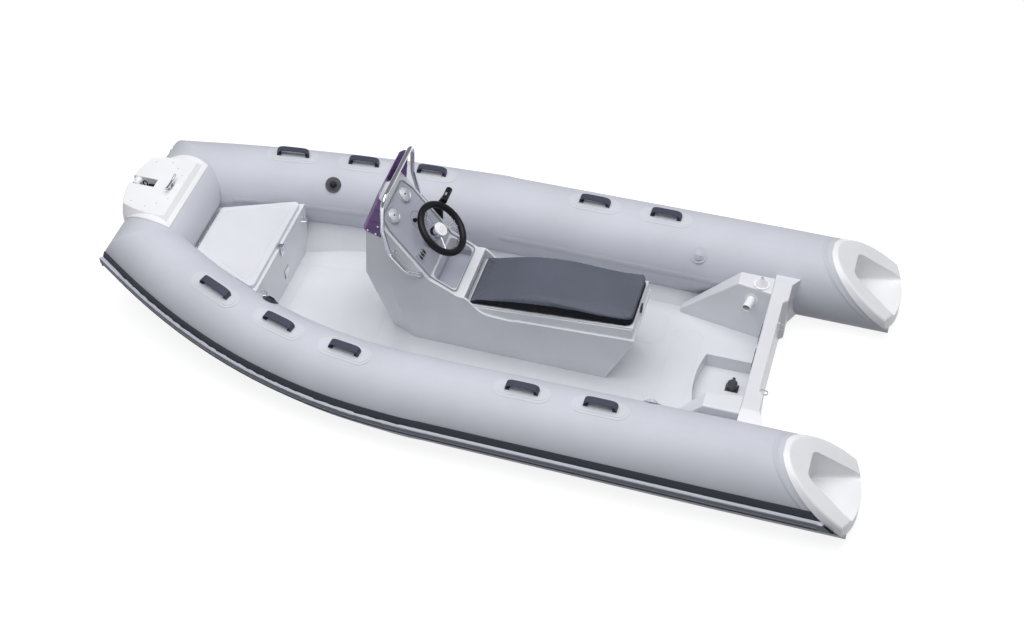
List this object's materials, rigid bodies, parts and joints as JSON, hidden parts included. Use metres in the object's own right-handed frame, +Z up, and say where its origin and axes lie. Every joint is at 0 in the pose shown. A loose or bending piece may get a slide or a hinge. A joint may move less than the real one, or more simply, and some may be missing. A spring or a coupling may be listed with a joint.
{
  "type": "rigid inflatable boat",
  "caption": "Rigid inflatable boat with mitred bow tube, deep V hull, centre console, jockey seat and bow locker.",
  "frame": {"origin": "on the waterline, at mid-length and on the centre line", "axes": "+X towards the bow, +Y to port, +Z up"},
  "size_m": [4.232, 1.9972, 1.2925],
  "materials": {
    "tube_fabric": "matte coated fabric",
    "white_moulding": "satin",
    "gelcoat": "smooth gelcoat",
    "strake_rubber": "matte",
    "dash_grey": "satin",
    "trim_grey": "satin",
    "upholstery": "matte vinyl",
    "black_plastic": "satin",
    "dark_plastic": "satin",
    "gauge_white": "gloss",
    "tinted_screen": "tinted acrylic",
    "handle_navy": "matte webbing",
    "stainless": "polished stainless steel"
  },
  "bodies": {
    "boat": {"air_valves": "dark_plastic", "bilge_pump": "dark_plastic", "bow_cleat": "stainless", "bow_eye": "stainless", "bow_plate": "white_moulding", "cable_boot": "white_moulding", "cone_port": "white_moulding", "cone_starboard": "white_moulding", "console": "gelcoat", "dash_knobs": "black_plastic", "dash_panel": "dash_grey", "dash_trim": "trim_grey", "deck_liner": "gelcoat", "drain_plug": "dark_plastic", "engine_pads": "dark_plastic", "gauges": "gauge_white", "grab_rail": "stainless", "handle_patches": "tube_fabric", "handles": "handle_navy", "helm": "dash_grey", "hull": "gelcoat", "knee_port": "gelcoat", "knee_starboard": "gelcoat", "locker_box": "gelcoat", "locker_eyes": "stainless", "locker_hinge": "stainless", "rigging_pipe": "white_moulding", "roller_pin": "stainless", "seat_box": "gelcoat", "seat_hinge": "stainless", "strake_bow": "strake_rubber", "strake_port": "strake_rubber", "strake_starboard": "strake_rubber", "switch_panel": "dash_grey", "switch_rockers": "black_plastic", "throttle_box": "black_plastic", "throttle_lever": "black_plastic", "transom": "gelcoat", "transom_eyes": "stainless", "tube_bow": "tube_fabric", "tube_port": "tube_fabric", "tube_starboard": "tube_fabric", "windscreen": "tinted_screen"},
    "wheel": {"steering_wheel": "black_plastic", "wheel_spokes": "stainless", "wheel_cap": "white_moulding"},
    "bow_lid": {"locker_lid": "gelcoat", "locker_latch": "stainless"},
    "seat": {"seat_lid": "gelcoat", "seat_cushion": "upholstery", "seat_catch": "dark_plastic"},
    "roller": {"bow_roller": "white_moulding"}
  },
  "joints": [
    {"name": "steering", "type": "hinge", "parent": "boat", "child": "wheel", "pos_m": [0.287, 0, 0.71], "axis": [-0.6626, 0, 0.749], "range_deg": [-540, 540]},
    {"name": "bow_lid_hinge", "type": "hinge", "parent": "boat", "child": "bow_lid", "pos_m": [1.6734, 0, 0.3394], "axis": [0, 1, 0], "range_deg": [0, 75]},
    {"name": "seat_hinge", "type": "hinge", "parent": "boat", "child": "seat", "pos_m": [0.103, 0, 0.399], "axis": [0, 1, 0], "range_deg": [0, 65]},
    {"name": "bow_roller_spin", "type": "hinge", "parent": "boat", "child": "roller", "pos_m": [2.064, 0, 0.592], "axis": [0, 1, 0], "continuous": true}
  ]
}
